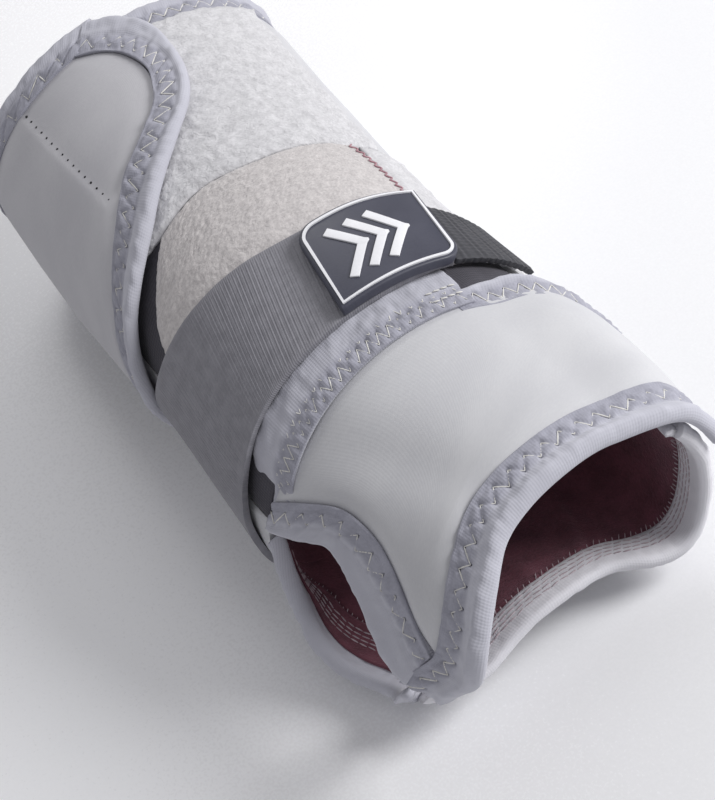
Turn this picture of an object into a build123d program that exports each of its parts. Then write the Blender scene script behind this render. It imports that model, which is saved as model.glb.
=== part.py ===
"""Wrist support brace for a left hand: wrapped fabric body, three peel closures and a splint.

Millimetres. X runs along the forearm towards the fingers, Z is up from the palm side to the
back of the hand, and the thumb is on the -Y side. The brace lies on its splint pocket, whose
underside is Z = 0. Every fabric layer is a patch of the limb's surface: a place on it is
(x, angle), with angle 0 on top, 90 on the little finger side, 180 on the palm side and
-90 or 270 on the thumb side, and a lift is the distance out from the skin.
"""

from build123d import *
import math
import os

# ---- driving dimensions ------------------------------------------------------------------

AXIS_HEIGHT = 30.6  # height of the limb's axis above the surface that the brace lies on

# Skin sections: x, sideways shift, half width, height above the axis, depth below it,
# how square the palm side is, how much deeper it is on the little finger side.
SECTIONS = [
    (-100, 4.8, 38.0, 24.5, 22.0, 0.35, 0.00),
    (-50, 1.4, 37.5, 26.0, 23.0, 0.35, 0.00),
    (0, 0.0, 36.5, 26.0, 23.0, 0.35, 0.00),
    (45, 0.5, 38.5, 26.0, 22.0, 0.40, 0.05),
    (75, 4.0, 36.5, 23.5, 18.5, 0.80, 0.25),
    (105, 6.5, 32.5, 22.5, 14.5, 1.20, 0.40),
]
THENAR_PLACE = (76, -122)  # middle of the swell over the base of the thumb
THENAR_SIZE = (27, 24)  # its reach along x in mm and around the limb in degrees
THENAR_LIFT = 19.0  # how far it stands out sideways
THENAR_DROP = 0.9  # the share of that lift that goes down towards the palm

# Layers, each from its inner lift to its outer lift.
LINING = (0.0, 0.9)
CORE = (1.0, 2.3)
COVER = (2.4, 3.5)
PANEL = (1.0, 3.5)
BINDING = (0.0, 3.5)
TOPPING = (3.7, 4.9)
HOOK = (5.25, 5.85)
STRAP = (5.3, 6.9)
TAB = (5.95, 7.3)
FLAP = (6.0, 8.0)
FLAP_BINDING = (5.4, 8.6)
TAG = (7.0, 9.8)
TAG_MOTIF = (9.9, 10.3)
ULNAR_PANEL = (1.0, 3.0)
ULNAR_LOOP = (3.1, 3.8)
CLOSURE_HOOK = (4.2, 4.8)
STRAP_ROOT = (3.7, 5.3)
FLAP_ROOT = (3.6, 5.6)
WEBBING = (5.8, 7.0)
CLOSURE_RAMP = ((1.0, 4.9), (3.5, 7.0))  # from the dorsal panel's lifts out over the ulnar panel

SEAM_GAP = 0.1  # clearance between sewn pieces, in mm
HINGE_GAP = 0.3  # clearance between pieces that move apart, in mm

# Ends and edges, as x or as points (x, angle).
PROXIMAL_END = -98.5
PROXIMAL_INNER = -89.5
DORSAL_START = -80
DORSAL_END = 70

DORSAL_EDGE = [(108.3, -93.5), (110, -78), (108.5, -62), (104, -43), (98.5, -26), (96, -11), (94.5, 5),
               (93.3, 29.6)]
DORSAL_INNER = [(98, -91.5), (98.8, -78), (97.5, -62), (93, -43), (88, -26), (85.6, -11), (84.3, 5),
                (83.4, 29.6)]
CLOSURE_EDGE = [(93.3, 30.4), (94, 48), (95, 66), (97.5, 84)]
CLOSURE_INNER = [(83.4, 30.4), (83.6, 46), (84, 62), (85.5, 78)]
CLOSURE_PROXIMAL = [(40.2, 30.4), (40.4, 46), (44, 61), (50, 74), (57, 86)]
CLOSURE_PROXIMAL_INNER = [(45.2, 30.4), (46, 44), (49.2, 58), (54, 69), (60.5, 79)]
VOLAR_EDGE = [(93.5, 66), (96.5, 88), (97, 108), (98, 130), (96.5, 147), (93, 163), (93.3, 181), (94.5, 207),
              (97, 222), (99.5, 235), (102, 249)]
VOLAR_INNER = [(84.5, 66), (87, 88), (87.5, 108), (88.5, 130), (87.3, 147), (84.5, 163), (84.8, 181),
               (86, 207), (88.3, 222), (91, 235), (93.8, 249.3)]
THUMB_TOP = [(47, -88), (55, -82), (60, -77), (66, -72.5), (72, -79), (78.5, -90), (86, -101), (93.5, -109.5)]
THUMB_TOP_INNER = [(48, -70), (56, -61), (64, -54), (71, -53.5), (78.5, -57), (86, -66), (92.5, -79),
                   (97.5, -91)]
THUMB_BOTTOM = [(47.2, 260), (54, 249.5), (62, 245), (71, 239.5), (79, 236.5), (86, 238), (93, 249)]
THUMB_BOTTOM_INNER = [(47.2, 245), (53, 234), (61, 229.5), (70.5, 224), (79, 220.5), (86, 222), (90.5, 232)]

HINGE_ANGLE = -91.7  # where the strap and the flap fold back, on the thumb side
ROOT_ANGLE = 267.5  # where their sewn roots begin, just under that fold
FLAP_EDGE = [(-98.5, -6), (-93, 5), (-84, 12), (-74, 13), (-63, 11.5), (-53, 6), (-44, -5), (-34, -20),
             (-25, -34), (-18.5, -49), (-13.5, -64), (-8.5, -77), (-4.5, -86), (-3.5, HINGE_ANGLE)]
FLAP_SEAM_TURN = 1.1  # the flap panel stops this many degrees short of its edge tape
FLAP_MITRE = 0.5  # degrees between the end tape and the edge tape at the corner
FLAP_INNER = [(-89.5, -16), (-84, -6.5), (-78, -1.5), (-70, 0.8), (-63, -1), (-56, -5.5), (-49.5, -15.5),
              (-43, -28), (-36, -38.5), (-29.5, -49.5), (-23.5, -60), (-18, -72), (-13, -84),
              (-12, HINGE_ANGLE)]

STRAP_PROXIMAL = [(-2.5, HINGE_ANGLE), (-0.5, -66), (0.5, -40), (2, -20), (4.5, 0), (5, 22), (5, 42)]
STRAP_DISTAL = [(42.5, HINGE_ANGLE), (40.5, -70), (37, -50), (35, -32), (34, -10), (33.5, 12), (33, 34.4)]
TAG_PROXIMAL = [(6.5, -0.5), (6, 21), (7.5, 43.5)]
TAG_DISTAL = [(34, -6), (34, 15), (35, 35.5)]

TAG_MOTIF_SIDES = ([(11, 8), (11.5, 34)], [(29, 5), (30, 29)])
TAB_SIDES = ([(9, 44.6), (10, 59), (11, 73)], [(30, 38.2), (31.5, 54), (33, 70)])
STRAP_HOOK_SIDES = ([(12, 54), (13, 71)], [(28.5, 54), (31, 68)])
FLAP_HOOK_SIDES = ([(-85, -42), (-60, -42)], [(-80, -9), (-66, -7)])

WRIST_DORSAL = [(47.8, DORSAL_START), (46, -55), (42.5, -12), (39, 29.6), (39.8, 50), (42.6, DORSAL_END)]
WRIST_VOLAR = [(42.6, DORSAL_END + 0.2), (43.2, 110), (44.2, 168), (45.4, 220), (46.2, ROOT_ANGLE - 0.5)]
LOOP_START = -89
LOOP_DISTAL = [(-26, -70), (-25, -50), (-24.4, -33), (-27, -12), (-25.2, 8), (-23.8, 30), (-20.8, 47),
               (-20.8, 62)]
VELOUR_GAP = 0.8
VELOUR_DISTAL = [(31, -70), (30.5, -40), (30.5, -10), (30.5, 20), (31, 49)]
VELOUR_RADIAL = [(-23.6, -33), (-16, -46.5), (-5, -62), (12, -68), (31, -70)]
VELOUR_ULNAR = [(-20, 47), (-14, 49.5), (-5, 50), (12, 49.5), (31, 49)]
ULNAR_LOOP_RANGE = (-20, 33)
ULNAR_LOOP_ANGLES = (51.5, 80)
BAND_MIDDLE = (35.6, 8)  # the seam band's place nearest to the forearm
BAND_BEND = 0.0017  # how fast its edge leaves that x, in mm per square degree
BAND_ANGLES = (-62, -39, -16, 7, 30)
BAND_WIDTH = 9
CLOSURE_LOOP_RANGE = (62, 81)
CLOSURE_LOOP_ANGLES = (68, 90)
CLOSURE_LINING_END = 62
CLOSURE_HOOK_RANGE = (64, 80)
CLOSURE_HOOK_ANGLES = (68, 78)

STRAP_ROOT_RANGE = (-2.5, 42.5)
STRAP_ROOT_END = 215
FLAP_ROOT_RANGE = (-98.5, -4)
FLAP_ROOT_END = 228
WEBBING_RANGE = (-78, -12)
WEBBING_ANGLES = (262, 236)

STAY_ANGLES = (-35, 35)
STAY_HALF_ANGLE = 6
STAY_CLEARANCE = 0.5
STAY_RANGE = (-80, 30)
FOAM_END = 38.5
STAY = (1.1, 2.2)

SPLINT_LENGTH = 146
SPLINT_END = 60
SPLINT_WIDTH = 22
SPLINT_THICKNESS = 1.6
SPLINT_CORNER = 9.2
POCKET_WALL = 0.7
POCKET_CLOSED_END = 3
POCKET_START = -88
POCKET_EXTRA_WIDTH = 2.6  # sewn margin on each side of the pocket's slot

RAMP_SHARE = 0.6  # share of a patch over which a changing lift settles
STEP_ALONG = 12  # spacing in mm of the points that a patch is fitted to
STEP_AROUND = 7  # the same around the limb, in degrees
FIT = 0.005  # how closely a patch follows those points, in mm

# ---- the limb's surface ------------------------------------------------------------------


def mix(a, b, t):
    return a + (b - a) * t


def through(points, t):
    """A smooth curve through a list of points, at t from 0 to 1."""
    last = len(points) - 1
    place = min(max(t, 0), 1) * last
    index = min(int(place), last - 1)
    s = place - index
    p1, p2 = points[index], points[index + 1]
    p0 = points[index - 1] if index > 0 else [2 * a - b for a, b in zip(p1, p2)]
    p3 = points[index + 2] if index + 2 <= last else [2 * b - a for a, b in zip(p1, p2)]
    return [
        0.5 * (2 * b + (c - a) * s + (2 * a - 5 * b + 4 * c - d) * s**2 + (3 * b - a - 3 * c + d) * s**3)
        for a, b, c, d in zip(p0, p1, p2, p3)
    ]


def section(x):
    """The skin section's numbers at x, by cubic steps between the listed sections."""
    last = len(SECTIONS) - 1
    index = 0
    while index < last - 1 and x > SECTIONS[index + 1][0]:
        index += 1
    start, end = SECTIONS[index], SECTIONS[index + 1]
    t = min(max((x - start[0]) / (end[0] - start[0]), 0), 1)

    def slope(i, column):
        low, high = max(i - 1, 0), min(i + 1, last)
        return (SECTIONS[high][column] - SECTIONS[low][column]) / (SECTIONS[high][0] - SECTIONS[low][0])

    span = end[0] - start[0]
    values = []
    for column in range(1, 7):
        m0, m1 = slope(index, column) * span, slope(index + 1, column) * span
        h00, h10 = 2 * t**3 - 3 * t**2 + 1, t**3 - 2 * t**2 + t
        values.append(h00 * start[column] + h10 * m0 + (1 - h00) * end[column] + (t**3 - t**2) * m1)
    return values


def skin(x, angle):
    """Y and Z of the skin at a place."""
    shift, half_width, above, below, square, deeper = section(x)
    turn = math.radians(angle)
    side, up = math.sin(turn), math.cos(turn)
    y = shift + half_width * side
    if up >= 0:
        z = above * up
    else:
        z = below * up * (1 + square * side**2) * (1 + deeper * side)
    around = (angle - THENAR_PLACE[1] + 180) % 360 - 180
    reach = ((x - THENAR_PLACE[0]) / THENAR_SIZE[0]) ** 2 + (around / THENAR_SIZE[1]) ** 2
    swell = THENAR_LIFT * math.exp(-reach)
    return y + swell * side, AXIS_HEIGHT + z + swell * up * THENAR_DROP


def limb_point(x, angle, lift):
    """A point at a lift out from the skin, square to the section's outline."""
    y, z = skin(x, angle)
    y0, z0 = skin(x, angle - 0.5)
    y1, z1 = skin(x, angle + 0.5)
    length = math.hypot(y1 - y0, z1 - z0)
    return Vector(x, y - (z1 - z0) / length * lift, z + (y1 - y0) / length * lift)


# ---- making solids -----------------------------------------------------------------------


def level(lift, t):
    """A lift that is either one number or a pair, reached by a smooth ramp."""
    if not isinstance(lift, tuple):
        return lift
    t = min(t / RAMP_SHARE, 1)
    return mix(lift[0], lift[1], t * t * (3 - 2 * t))


def steps(edge, other):
    """How many points a patch needs along the longer of two edges."""
    spans = []
    for places in (edge, other):
        along = max(x for x, _ in places) - min(x for x, _ in places)
        around = max(angle for _, angle in places) - min(angle for _, angle in places)
        spans.append(along / STEP_ALONG + around / STEP_AROUND)
    return 5 + math.ceil(max(spans))


def patch(side_a, side_b, low, high, end_a=None, end_b=None):
    """A curved slab between two edges on the limb, each a list of places.

    end_a and end_b are the edges that join the first and last places of the two sides.
    They are straight unless given. low and high may be a pair: the lift at side_a, at side_b.
    """
    end_a = end_a or [side_a[0], side_b[0]]
    end_b = end_b or [side_a[-1], side_b[-1]]

    def place(u, v):
        a, b = through(side_a, u), through(side_b, u)
        c, d = through(end_a, v), through(end_b, v)
        spot = []
        for i in range(2):
            corners = mix(mix(side_a[0][i], side_a[-1][i], u), mix(side_b[0][i], side_b[-1][i], u), v)
            spot.append(mix(a[i], b[i], v) + mix(c[i], d[i], u) - corners)
        return spot

    count_u, count_v = steps(side_a, side_b), steps(end_a, end_b)

    def surface(lift):
        rows = []
        for i in range(count_u):
            row = []
            for j in range(count_v):
                u, v = i / (count_u - 1), j / (count_v - 1)
                row.append(limb_point(*place(u, v), level(lift, v)))
            rows.append(row)
        return Face.make_surface_from_array_of_points(rows, tol=FIT)

    inner, outer = surface(low), surface(high)
    walls = [Face.make_surface_from_curves(a, b) for a, b in zip(inner.edges(), outer.edges())]
    solid = Solid(Shell([inner, outer] + walls))
    if solid.volume < 0:
        solid = Solid(Shell([-face for face in solid.faces()]))
    return solid


def across(low_edge, high_edge, low, high):
    """A patch between two edges around the limb, whose lift changes around the limb."""
    first, last = [low_edge[0], high_edge[0]], [low_edge[-1], high_edge[-1]]
    return patch(first, last, low, high, end_a=low_edge, end_b=high_edge)


def ring_edge(x, start, end, count=5):
    """An edge around the limb at one x."""
    return [(x, mix(start, end, i / (count - 1))) for i in range(count)]


def shifted(edge, dx=0.0, turn=0.0):
    return [(x + dx, angle + turn) for x, angle in edge]


def stretch(edge, start, end, count=9):
    """The part of an edge between two angles."""

    def fraction(angle):
        low, high = 0.0, 1.0
        for _ in range(40):
            middle = (low + high) / 2
            low, high = (middle, high) if through(edge, middle)[1] < angle else (low, middle)
        return (low + high) / 2

    first, last = fraction(start), fraction(end)
    return [tuple(through(edge, mix(first, last, i / (count - 1)))) for i in range(count)]


def write(name, *solids):
    shape = solids[0] if len(solids) == 1 else Compound(children=list(solids))
    shape.label = name
    export_step(shape, os.path.join("parts", name + ".step"))
    print(f"{name:26s} {len(solids)} solid(s) {sum(s.volume for s in solids):9.1f} mm3")


# ---- forearm body ------------------------------------------------------------------------


def forearm():
    proximal_dorsal = ring_edge(PROXIMAL_INNER, DORSAL_START, DORSAL_END, 6)
    proximal_volar = ring_edge(PROXIMAL_INNER, DORSAL_END + 0.2, ROOT_ANGLE - 0.5)

    dorsal_lining = patch(proximal_dorsal, WRIST_DORSAL, *LINING)
    volar_lining = patch(proximal_volar, WRIST_VOLAR, *LINING)
    write("forearm_lining", dorsal_lining, volar_lining)
    write("forearm_volar_panel", patch(proximal_volar, WRIST_VOLAR, *PANEL))
    write("forearm_dorsal_cover", patch(proximal_dorsal, WRIST_DORSAL, *COVER))

    foam_edges = [DORSAL_START]
    for angle in STAY_ANGLES:
        foam_edges += [angle - STAY_HALF_ANGLE - STAY_CLEARANCE, angle + STAY_HALF_ANGLE + STAY_CLEARANCE]
    foam_edges.append(DORSAL_END)
    foam = []
    for start, end in zip(foam_edges[::2], foam_edges[1::2]):
        foam.append(patch(ring_edge(PROXIMAL_INNER, start, end), ring_edge(FOAM_END, start, end), *CORE))
    write("foam_core", *foam)

    stays = []
    for angle in STAY_ANGLES:
        edges = [ring_edge(x, angle - STAY_HALF_ANGLE, angle + STAY_HALF_ANGLE, 3) for x in STAY_RANGE]
        stays.append(patch(*edges, *STAY))
    write("dorsal_stays", *stays)

    fold = ring_edge(PROXIMAL_END, DORSAL_START, ROOT_ANGLE - 0.5, 9)
    hem = ring_edge(PROXIMAL_INNER - SEAM_GAP, DORSAL_START, ROOT_ANGLE - 0.5, 9)
    write("proximal_binding", patch(fold, hem, *BINDING))

    loop_start = ring_edge(LOOP_START, LOOP_DISTAL[0][1], LOOP_DISTAL[-1][1], 7)
    write("loop_panel", patch(loop_start, LOOP_DISTAL, *TOPPING))
    velour_proximal = shifted(LOOP_DISTAL[2:-1], VELOUR_GAP)
    velour_ends = {"end_a": VELOUR_RADIAL, "end_b": VELOUR_ULNAR}
    write("velour_panel", patch(velour_proximal, VELOUR_DISTAL, *TOPPING, **velour_ends))
    ulnar_loop = [ring_edge(x, *ULNAR_LOOP_ANGLES, 3) for x in ULNAR_LOOP_RANGE]
    write("ulnar_loop_panel", patch(*ulnar_loop, *TOPPING))

    band_low = []
    for angle in BAND_ANGLES:
        band_low.append((BAND_MIDDLE[0] + BAND_BEND * (angle - BAND_MIDDLE[1]) ** 2, angle))
    write("wrist_seam_band", patch(band_low, shifted(band_low, BAND_WIDTH), *TOPPING))


# ---- hand body ---------------------------------------------------------------------------


def hand():
    distal_side = shifted(stretch(DORSAL_INNER, -89, 29.5), -SEAM_GAP)
    thumb_side = shifted(THUMB_TOP_INNER[:-1], 0.0, 0.4) + [distal_side[0]]
    ulnar_side = [(39.4, 29.5), (62, 29.5), distal_side[-1]]
    wrist_side = [thumb_side[0], (47.6, -56), (43.6, -14), ulnar_side[0]]
    for name, layer in (("hand_dorsal_lining", LINING), ("hand_dorsal_panel", PANEL)):
        write(name, patch(thumb_side, ulnar_side, *layer, end_a=wrist_side, end_b=distal_side))

    palm_distal = shifted(stretch(VOLAR_INNER, 130, 222), -2 * SEAM_GAP)
    palm_thumb = shifted(THUMB_BOTTOM_INNER[:-1], 0.0, -0.4) + [palm_distal[-1]]
    palm_start = [(44.8, 130), (63, 130), palm_distal[0]]
    palm_wrist = [palm_start[0], (45.4, 170), (46.6, 215), palm_thumb[0]]
    for name, layer in (("palm_lining", LINING), ("palm_pad", CORE), ("palm_cover", COVER)):
        write(name, patch(palm_start, palm_thumb, *layer, end_a=palm_wrist, end_b=palm_distal))

    ulnar_sides = (ring_edge(44.8, 67, 129.6), shifted(stretch(VOLAR_INNER, 67, 129.6), -2 * SEAM_GAP))
    write("ulnar_lining", patch(*ulnar_sides, *LINING))
    write("ulnar_panel", patch(*ulnar_sides, *ULNAR_PANEL))
    closure_loop = [ring_edge(x, *CLOSURE_LOOP_ANGLES, 3) for x in CLOSURE_LOOP_RANGE]
    write("closure_loop_patch", patch(*closure_loop, *ULNAR_LOOP))

    write("distal_dorsal_binding", patch(DORSAL_INNER, DORSAL_EDGE, *BINDING))
    write("distal_volar_binding", patch(VOLAR_INNER, VOLAR_EDGE, *BINDING))
    write("thumb_dorsal_binding", patch(THUMB_TOP, THUMB_TOP_INNER, *BINDING))
    write("thumb_volar_binding", patch(THUMB_BOTTOM, THUMB_BOTTOM_INNER, *BINDING))


# ---- moving closures ---------------------------------------------------------------------


def wrist_strap():
    write("elastic_strap", patch(STRAP_PROXIMAL, STRAP_DISTAL, *STRAP))
    write("rubber_tag", patch(TAG_PROXIMAL, TAG_DISTAL, *TAG))
    write("tag_motif", patch(*TAG_MOTIF_SIDES, *TAG_MOTIF))
    write("hook_tab", patch(*TAB_SIDES, *TAB))
    write("strap_hook_pad", patch(*STRAP_HOOK_SIDES, *HOOK))
    root_sides = [ring_edge(x, ROOT_ANGLE, STRAP_ROOT_END) for x in STRAP_ROOT_RANGE]
    write("strap_root", patch(*root_sides, *STRAP_ROOT))


def side_flap():
    start, end = PROXIMAL_INNER + SEAM_GAP, FLAP_INNER[-1][0] - SEAM_GAP
    hinge_side = [(mix(start, end, i / 5), HINGE_ANGLE) for i in range(6)]
    write("side_flap", patch(hinge_side, shifted(FLAP_INNER, 0.0, -FLAP_SEAM_TURN), *FLAP))

    fold = ring_edge(PROXIMAL_END, HINGE_ANGLE, FLAP_EDGE[0][1] - FLAP_MITRE)
    hem = ring_edge(PROXIMAL_INNER - SEAM_GAP, HINGE_ANGLE, FLAP_INNER[0][1] - FLAP_MITRE)
    end_tape = patch(fold, hem, *FLAP_BINDING)
    edge_tape = patch(FLAP_EDGE, FLAP_INNER, *FLAP_BINDING)
    write("side_flap_binding", end_tape, edge_tape)

    write("flap_hook_pad", patch(*FLAP_HOOK_SIDES, *HOOK))
    root_sides = [ring_edge(x, ROOT_ANGLE, FLAP_ROOT_END) for x in FLAP_ROOT_RANGE]
    write("side_flap_root", patch(*root_sides, *FLAP_ROOT))
    webbing = [ring_edge(x, *WEBBING_ANGLES, 3) for x in WEBBING_RANGE]
    write("underside_webbing", patch(*webbing, *WEBBING))


def hand_closure():
    panel_low = shifted(CLOSURE_PROXIMAL_INNER, SEAM_GAP)
    panel_high = shifted(CLOSURE_INNER, -SEAM_GAP)
    write("hand_closure", across(panel_low, panel_high, *CLOSURE_RAMP))
    proximal_tape = across(CLOSURE_PROXIMAL, CLOSURE_PROXIMAL_INNER, *CLOSURE_RAMP)
    distal_tape = across(CLOSURE_INNER, CLOSURE_EDGE, *CLOSURE_RAMP)
    write("closure_binding", proximal_tape, distal_tape)
    lining_low = shifted(stretch(CLOSURE_PROXIMAL_INNER, 30.4, CLOSURE_LINING_END), SEAM_GAP)
    lining_high = shifted(stretch(CLOSURE_INNER, 30.4, CLOSURE_LINING_END), -SEAM_GAP)
    write("closure_lining", across(lining_low, lining_high, *LINING))
    hook_sides = [ring_edge(x, *CLOSURE_HOOK_ANGLES, 3) for x in CLOSURE_HOOK_RANGE]
    write("closure_hook_pad", patch(*hook_sides, *CLOSURE_HOOK))


# ---- splint and its pocket ---------------------------------------------------------------


def splint():
    slot_height = SPLINT_THICKNESS + 2 * HINGE_GAP
    slot_width = SPLINT_WIDTH + 2 * HINGE_GAP
    bar_end = SPLINT_END - SPLINT_LENGTH
    bar = Pos((SPLINT_END + bar_end) / 2, 0, POCKET_WALL + slot_height / 2) * Box(
        SPLINT_LENGTH, SPLINT_WIDTH, SPLINT_THICKNESS
    )
    bar = fillet(bar.edges().filter_by(Axis.Z), SPLINT_CORNER)
    write("volar_splint", bar)

    slot_end = SPLINT_END + HINGE_GAP
    pocket_end = slot_end + POCKET_CLOSED_END
    pocket = Pos((POCKET_START + pocket_end) / 2, 0, slot_height / 2 + POCKET_WALL) * Box(
        pocket_end - POCKET_START, slot_width + 2 * POCKET_EXTRA_WIDTH, slot_height + 2 * POCKET_WALL
    )
    slot = Pos((POCKET_START - 1 + slot_end) / 2, 0, POCKET_WALL + slot_height / 2) * Box(
        slot_end - POCKET_START + 1, slot_width, slot_height
    )
    write("splint_pocket", pocket - slot)


os.makedirs("parts", exist_ok=True)
forearm()
hand()
wrist_strap()
side_flap()
hand_closure()
splint()
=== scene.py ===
# %% [markdown]
# # A wrist support brace
# The brace is a wrap of laminated fabric round a forearm and hand, closed by three peel flaps
# and edged with zigzag-stitched tape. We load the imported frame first: its nodes already have
# their real size and place, and everything that we model is put where those nodes are.

# %% Load the frame
import math
import bmesh
import bpy
import numpy as np
from mathutils import Matrix, Vector


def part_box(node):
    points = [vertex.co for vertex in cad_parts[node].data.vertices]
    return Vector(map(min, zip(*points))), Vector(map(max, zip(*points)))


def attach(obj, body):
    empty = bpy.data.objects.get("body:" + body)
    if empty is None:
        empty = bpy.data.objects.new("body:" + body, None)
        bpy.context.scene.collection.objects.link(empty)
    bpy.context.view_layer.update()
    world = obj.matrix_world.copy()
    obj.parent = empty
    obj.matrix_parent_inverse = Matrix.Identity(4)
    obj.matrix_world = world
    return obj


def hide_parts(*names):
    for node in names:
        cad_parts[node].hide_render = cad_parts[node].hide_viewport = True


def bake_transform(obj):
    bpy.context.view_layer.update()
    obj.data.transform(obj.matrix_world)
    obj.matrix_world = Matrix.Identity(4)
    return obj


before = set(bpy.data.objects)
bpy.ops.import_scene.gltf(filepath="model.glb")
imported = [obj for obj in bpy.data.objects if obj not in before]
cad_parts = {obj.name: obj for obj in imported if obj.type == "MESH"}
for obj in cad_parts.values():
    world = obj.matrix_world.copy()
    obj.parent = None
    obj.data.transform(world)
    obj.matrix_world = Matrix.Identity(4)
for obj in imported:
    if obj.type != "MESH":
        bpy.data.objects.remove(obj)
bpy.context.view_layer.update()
MM = 0.001

# %% [markdown]
# ## The limb as a map
# Every layer of a brace lies on the limb like paint on an egg. So we describe the limb once,
# by a few oval sections, and give each place as (x in mm, angle round the limb in degrees).
# A lift is how far a layer stands out from the skin. Angle 0 is the back of the hand, 90 the
# little finger side, 180 the palm and -90 or 270 the thumb side.

# %% The sections of the limb
AXIS_HEIGHT = 30.6
# x, sideways shift, half width, height above the axis, depth below it, squareness, depth change
SECTIONS = np.array([
    (-100, 4.8, 38.0, 24.5, 22.0, 0.35, 0.00),
    (-50, 1.4, 37.5, 26.0, 23.0, 0.35, 0.00),
    (0, 0.0, 36.5, 26.0, 23.0, 0.35, 0.00),
    (45, 0.5, 38.5, 26.0, 22.0, 0.40, 0.05),
    (75, 4.0, 36.5, 23.5, 18.5, 0.80, 0.25),
    (105, 6.5, 32.5, 22.5, 14.5, 1.20, 0.40),
])
THENAR_PLACE, THENAR_SIZE, THENAR_LIFT, THENAR_DROP = (76, -122), (27, 24), 19.0, 0.9
MM_PER_DEGREE = 0.66  # about how far one degree goes round the limb


def mix(a, b, t):
    return a + (b - a) * t


def smooth(t):
    t = np.clip(t, 0, 1)
    return t * t * (3 - 2 * t)


def section(x):
    """The section's numbers at x, by cubic steps between the listed sections."""
    places, columns = SECTIONS[:, 0], SECTIONS[:, 1:]
    slopes = np.gradient(columns, axis=0, edge_order=1)
    slopes /= np.gradient(places)[:, None]
    index = np.clip(np.searchsorted(places, x) - 1, 0, len(places) - 2)
    span = (places[index + 1] - places[index])[..., None]
    t = np.clip((x - places[index])[..., None] / span, 0, 1)
    rise = 3 * t**2 - 2 * t**3
    bend = (t**3 - 2 * t**2 + t) * slopes[index] * span + (t**3 - t**2) * slopes[index + 1] * span
    return np.moveaxis(mix(columns[index], columns[index + 1], rise) + bend, -1, 0)


def skin(x, angle):
    shift, half_width, above, below, square, deeper = section(x)
    side, up = np.sin(np.radians(angle)), np.cos(np.radians(angle))
    under = below * up * (1 + square * side**2) * (1 + deeper * side)
    around = (angle - THENAR_PLACE[1] + 180) % 360 - 180
    reach = ((x - THENAR_PLACE[0]) / THENAR_SIZE[0]) ** 2 + (around / THENAR_SIZE[1]) ** 2
    swell = THENAR_LIFT * np.exp(-reach)
    z = np.where(up >= 0, above * up, under) + swell * up * THENAR_DROP
    return shift + half_width * side + swell * side, AXIS_HEIGHT + z


def on_limb(place, lift):
    """Points in metres at places (..., 2) and at lifts in mm."""
    x, angle = place[..., 0], place[..., 1]
    y, z = skin(x, angle)
    y0, z0 = skin(x, angle - 0.5)
    y1, z1 = skin(x, angle + 0.5)
    length = np.hypot(y1 - y0, z1 - z0)
    return np.stack([x, y - (z1 - z0) / length * lift, z + (y1 - y0) / length * lift], -1) * MM


def spot(x, angle, lift=0.0):
    return Vector(on_limb(np.array([float(x), float(angle)]), lift))


print("wrist width in mm", round((spot(45, 90).y - spot(45, -90).y) / MM, 1))

# %% [markdown]
# ## Edges and patterns
# A pattern piece has four edges. Each edge is a short list of places joined by a smooth curve,
# and a Coons patch fills the middle, as a cloth stretched in a frame would.


# %% Curves, patches and soft bumps
def through(points, t):
    """A smooth curve through a list of places, at t from 0 to 1."""
    points, last = np.array(points, float), len(points) - 1
    place = np.clip(t, 0, 1) * last
    index = np.minimum(place.astype(int), last - 1)
    s = (place - index)[..., None]
    ends = np.vstack([2 * points[0] - points[1], points, 2 * points[-1] - points[-2]])
    a, b, c, d = (ends[index + k] for k in range(4))
    curve = (2 * a - 5 * b + 4 * c - d) * s**2 + (3 * b - a - 3 * c + d) * s**3
    return 0.5 * (2 * b + (c - a) * s + curve)


def pattern(side_a, side_b, end_a=None, end_b=None):
    """A function from u, v to a place; u runs along the sides and v from side_a to side_b."""
    end_a = end_a or [side_a[0], side_b[0]]
    end_b = end_b or [side_a[-1], side_b[-1]]
    corner = [np.array(p, float) for p in (side_a[0], side_a[-1], side_b[0], side_b[-1])]

    def place(u, v):
        column_u, column_v = u[..., None], v[..., None]
        sides = mix(through(side_a, u), through(side_b, u), column_v)
        ends = mix(through(end_a, v), through(end_b, v), column_u)
        low, high = mix(corner[0], corner[1], column_u), mix(corner[2], corner[3], column_u)
        return sides + ends - mix(low, high, column_v)

    return place


def ring(x, start, end, count=9):
    return [(x, mix(start, end, i / (count - 1))) for i in range(count)]


def strip(x0, x1, start, end):
    """A plain patch between two places along the limb and two angles."""
    return pattern(ring(x0, start, end, 5), ring(x1, start, end, 5))


def shifted(edge, dx=0.0, turn=0.0):
    return [(x + dx, angle + turn) for x, angle in edge]


BUMP_TABLE = 97  # random heights each way, after which the bumps repeat


def bumps(a, b, size, seed=1):
    """Smooth random bumps from -1 to 1, each about `size` across."""
    table = np.random.default_rng(seed).uniform(-1, 1, (BUMP_TABLE, BUMP_TABLE))
    x, y = a / size, b / size
    i, j = np.floor(x).astype(int), np.floor(y).astype(int)
    fx, fy = smooth(x - i), smooth(y - j)
    i0, i1, j0, j1 = (k % BUMP_TABLE for k in (i, i + 1, j, j + 1))
    return mix(mix(table[i0, j0], table[i1, j0], fx), mix(table[i0, j1], table[i1, j1], fx), fy)


def lengths(place, lift):
    """A pattern's length in mm along the middle of u and of v."""
    t, half = np.linspace(0, 1, 200), np.full(200, 0.5)
    spans = []
    for points in (on_limb(place(t, half), lift), on_limb(place(half, t), lift)):
        spans.append(np.linalg.norm(np.diff(points, axis=0), axis=1).sum() / MM)
    return spans


# %% [markdown]
# ## From a pattern to a mesh
# `create_grid` gives a flat, even sheet. We read each vertex as (u, v), look up its place on the
# limb and move it there, so one helper makes every panel. The flat distances in mm become
# the UV map, which keeps a weave at its real size however the cloth bends.


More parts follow.
